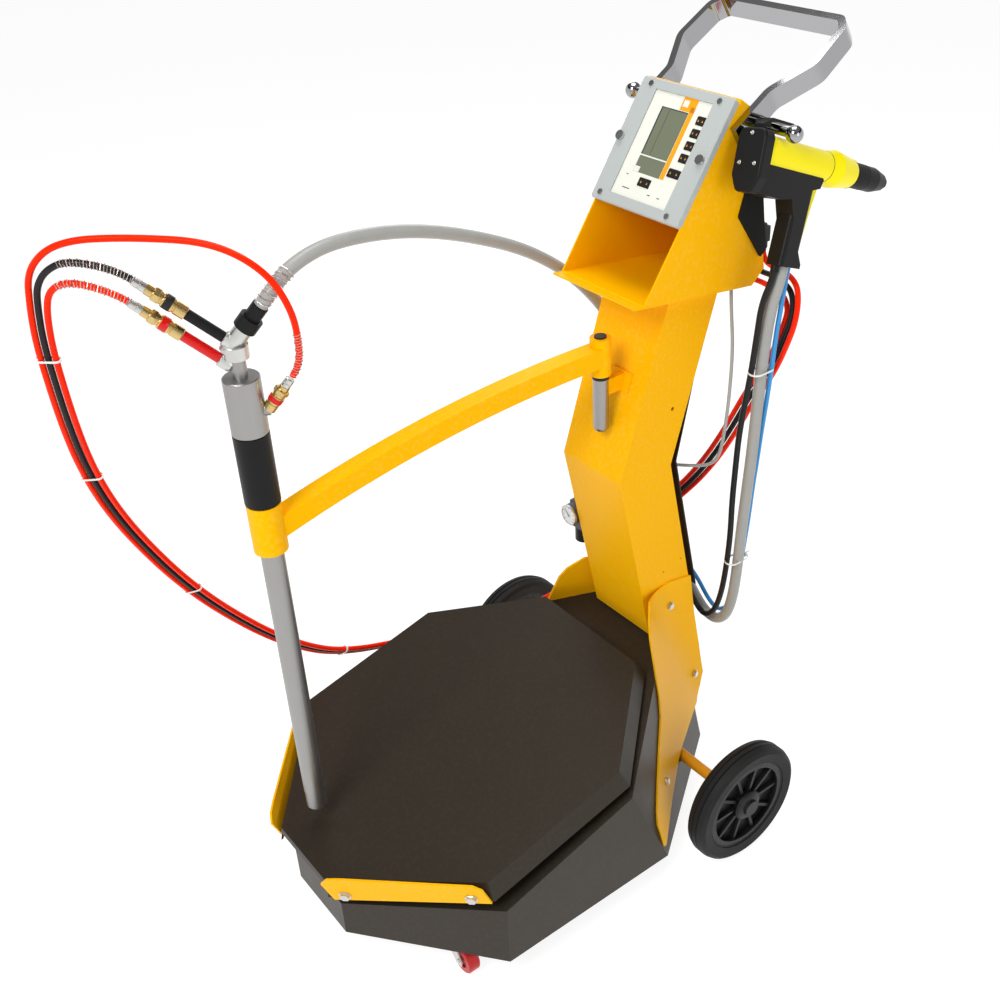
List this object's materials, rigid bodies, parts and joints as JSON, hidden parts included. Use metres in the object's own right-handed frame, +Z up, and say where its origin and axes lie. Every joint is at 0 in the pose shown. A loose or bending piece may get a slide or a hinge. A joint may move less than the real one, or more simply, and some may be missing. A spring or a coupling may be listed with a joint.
{
  "type": "mobile powder coating unit",
  "caption": "Wheeled powder spray unit: tilted vibrating table for a powder carton, swing arm with suction lance, column with control panel, push handle, spray gun and hoses.",
  "frame": {"origin": "on the floor, at the middle of the chassis box without hoses and gun", "axes": "+Z up, +Y towards the push handle, the front with the lance and the casters at -Y, X along the axle"},
  "size_m": [0.6114, 1.1177, 1.1768],
  "materials": {
    "orange_paint": "gloss powder coat",
    "brown_paint": "gloss powder coat",
    "black_rubber": "matte",
    "cast_motor": "painted casting",
    "axle_paint": "satin",
    "tyre_rubber": "matte",
    "wheel_plastic": "moulded",
    "zinc": "zinc plated",
    "red_polyurethane": "satin",
    "grey_panel": "satin",
    "cream_foil": "printed foil",
    "lcd_glass": "display window",
    "key_black": "moulded",
    "chrome_bar": "polished",
    "lance_aluminium": "satin",
    "lance_plastic": "moulded",
    "coupling_brass": "turned",
    "gauge_metal": "cast body with a dial",
    "gun_yellow": "moulded",
    "hose_black": "satin",
    "hose_red": "satin",
    "hose_grey": "ribbed",
    "hose_blue": "satin",
    "tie_white": "moulded"
  },
  "bodies": {
    "chassis": {"base_housing": "brown_paint", "chassis_crossbars": "brown_paint", "table_plate": "brown_paint", "rubber_buffers": "black_rubber", "vibration_motor": "cast_motor", "bumpers": "orange_paint", "column": "orange_paint", "column_rear_cover": "brown_paint", "side_plates": "orange_paint", "axle": "axle_paint", "axle_caps": "wheel_plastic", "caster_heads": "zinc", "hood": "orange_paint", "panel_frame": "grey_panel", "membrane": "cream_foil", "lcd_windows": "lcd_glass", "control_unit": "grey_panel", "fasteners": "zinc", "handle": "chrome_bar", "handle_knobs": "chrome_bar", "pivot_bracket": "lance_aluminium", "pivot_fittings": "key_black", "filter_regulator": "gauge_metal", "rear_connectors": "key_black", "holster_plate": "black_rubber", "air_hose_black": "hose_black", "air_hose_red_top": "hose_red", "air_hose_red_low": "hose_red", "powder_hose": "hose_grey", "gun_cable": "hose_black", "rinse_hose_blue": "hose_blue", "earth_lead": "hose_grey", "cable_ties": "tie_white"},
    "wheel_right": {"tyre_right": "tyre_rubber", "rim_right": "wheel_plastic"},
    "wheel_left": {"tyre_left": "tyre_rubber", "rim_left": "wheel_plastic"},
    "caster_right": {"caster_fork_right": "zinc"},
    "caster_left": {"caster_fork_left": "zinc"},
    "roller_right": {"caster_wheel_right": "red_polyurethane"},
    "roller_left": {"caster_wheel_left": "red_polyurethane"},
    "swing_arm": {"arm": "orange_paint"},
    "lance": {"lance_tube": "lance_aluminium", "lance_sleeve": "lance_plastic", "lance_head": "lance_aluminium", "ejector": "zinc", "ejector_inlets": "lance_plastic", "quick_couplings": "coupling_brass"},
    "gun": {"gun_body": "gun_yellow", "gun_nozzle": "lance_plastic", "gun_grip": "lance_plastic", "gun_cap": "lance_plastic"},
    "trigger": {"gun_trigger": "gun_yellow"},
    "regulator_dial": {"regulator_knob": "key_black"},
    "key_1": {"key_1": "key_black"},
    "key_2": {"key_2": "key_black"},
    "key_3": {"key_3": "key_black"},
    "key_4": {"key_4": "key_black"},
    "key_5": {"key_5": "key_black"},
    "key_6": {"key_6": "key_black"}
  },
  "joints": [
    {"name": "wheel_right_roll", "type": "hinge", "parent": "chassis", "child": "wheel_right", "pos_m": [0.2797, 0.1525, 0.1], "axis": [1, 0, 0], "continuous": true},
    {"name": "caster_right_swivel", "type": "hinge", "parent": "chassis", "child": "caster_right", "pos_m": [0.167, -0.31, 0.055], "axis": [0, 0, 1], "continuous": true},
    {"name": "caster_right_roll", "type": "hinge", "parent": "caster_right", "child": "roller_right", "pos_m": [0.193, -0.31, 0.023], "axis": [0, 1, 0], "continuous": true},
    {"name": "wheel_left_roll", "type": "hinge", "parent": "chassis", "child": "wheel_left", "pos_m": [-0.2797, 0.1525, 0.1], "axis": [1, 0, 0], "continuous": true},
    {"name": "caster_left_swivel", "type": "hinge", "parent": "chassis", "child": "caster_left", "pos_m": [-0.167, -0.31, 0.055], "axis": [0, 0, 1], "continuous": true},
    {"name": "caster_left_roll", "type": "hinge", "parent": "caster_left", "child": "roller_left", "pos_m": [-0.193, -0.31, 0.023], "axis": [0, 1, 0], "continuous": true},
    {"name": "arm_swing", "type": "hinge", "parent": "chassis", "child": "swing_arm", "pos_m": [0.014, 0.106, 0.77], "axis": [0, 0, 1], "range_deg": [-10, 15], "deforming": ["air_hose_black", "air_hose_red_top", "air_hose_red_low", "powder_hose", "cable_ties"]},
    {"name": "lance_slide", "type": "slide", "parent": "swing_arm", "child": "lance", "axis": [0, 0, 1], "range_m": [0, 0.25], "deforming": ["air_hose_black", "air_hose_red_top", "air_hose_red_low", "powder_hose", "cable_ties"]},
    {"name": "gun_unhook", "type": "slide", "parent": "chassis", "child": "gun", "axis": [0, -0.9239, 0.3827], "range_m": [0, 0.08], "deforming": ["gun_cable", "rinse_hose_blue", "powder_hose", "cable_ties"]},
    {"name": "gun_trigger_pull", "type": "hinge", "parent": "gun", "child": "trigger", "pos_m": [0.12705, 0.37559, 0.9747], "axis": [-0.9863, -0.0632, -0.1525], "range_deg": [0, 4], "stiffness_Nm_per_rad": 0.6, "springref_deg": -4.58},
    {"name": "key_1_press", "type": "slide", "parent": "chassis", "child": "key_1", "axis": [0, 0.8239, -0.5667], "range_m": [0, 0.001], "stiffness_N_per_m": 400, "springref_m": -0.0005},
    {"name": "key_2_press", "type": "slide", "parent": "chassis", "child": "key_2", "axis": [0, 0.8239, -0.5667], "range_m": [0, 0.001], "stiffness_N_per_m": 400, "springref_m": -0.0005},
    {"name": "key_3_press", "type": "slide", "parent": "chassis", "child": "key_3", "axis": [0, 0.8239, -0.5667], "range_m": [0, 0.001], "stiffness_N_per_m": 400, "springref_m": -0.0005},
    {"name": "key_4_press", "type": "slide", "parent": "chassis", "child": "key_4", "axis": [0, 0.8239, -0.5667], "range_m": [0, 0.001], "stiffness_N_per_m": 400, "springref_m": -0.0005},
    {"name": "key_5_press", "type": "slide", "parent": "chassis", "child": "key_5", "axis": [0, 0.8239, -0.5667], "range_m": [0, 0.001], "stiffness_N_per_m": 400, "springref_m": -0.0005},
    {"name": "key_6_press", "type": "slide", "parent": "chassis", "child": "key_6", "axis": [0, 0.8239, -0.5667], "range_m": [0, 0.001], "stiffness_N_per_m": 400, "springref_m": -0.0005},
    {"name": "regulator_turn", "type": "hinge", "parent": "chassis", "child": "regulator_dial", "pos_m": [-0.081, 0.15, 0.415], "axis": [0, 0, 1], "range_deg": [-180, 180]}
  ]
}
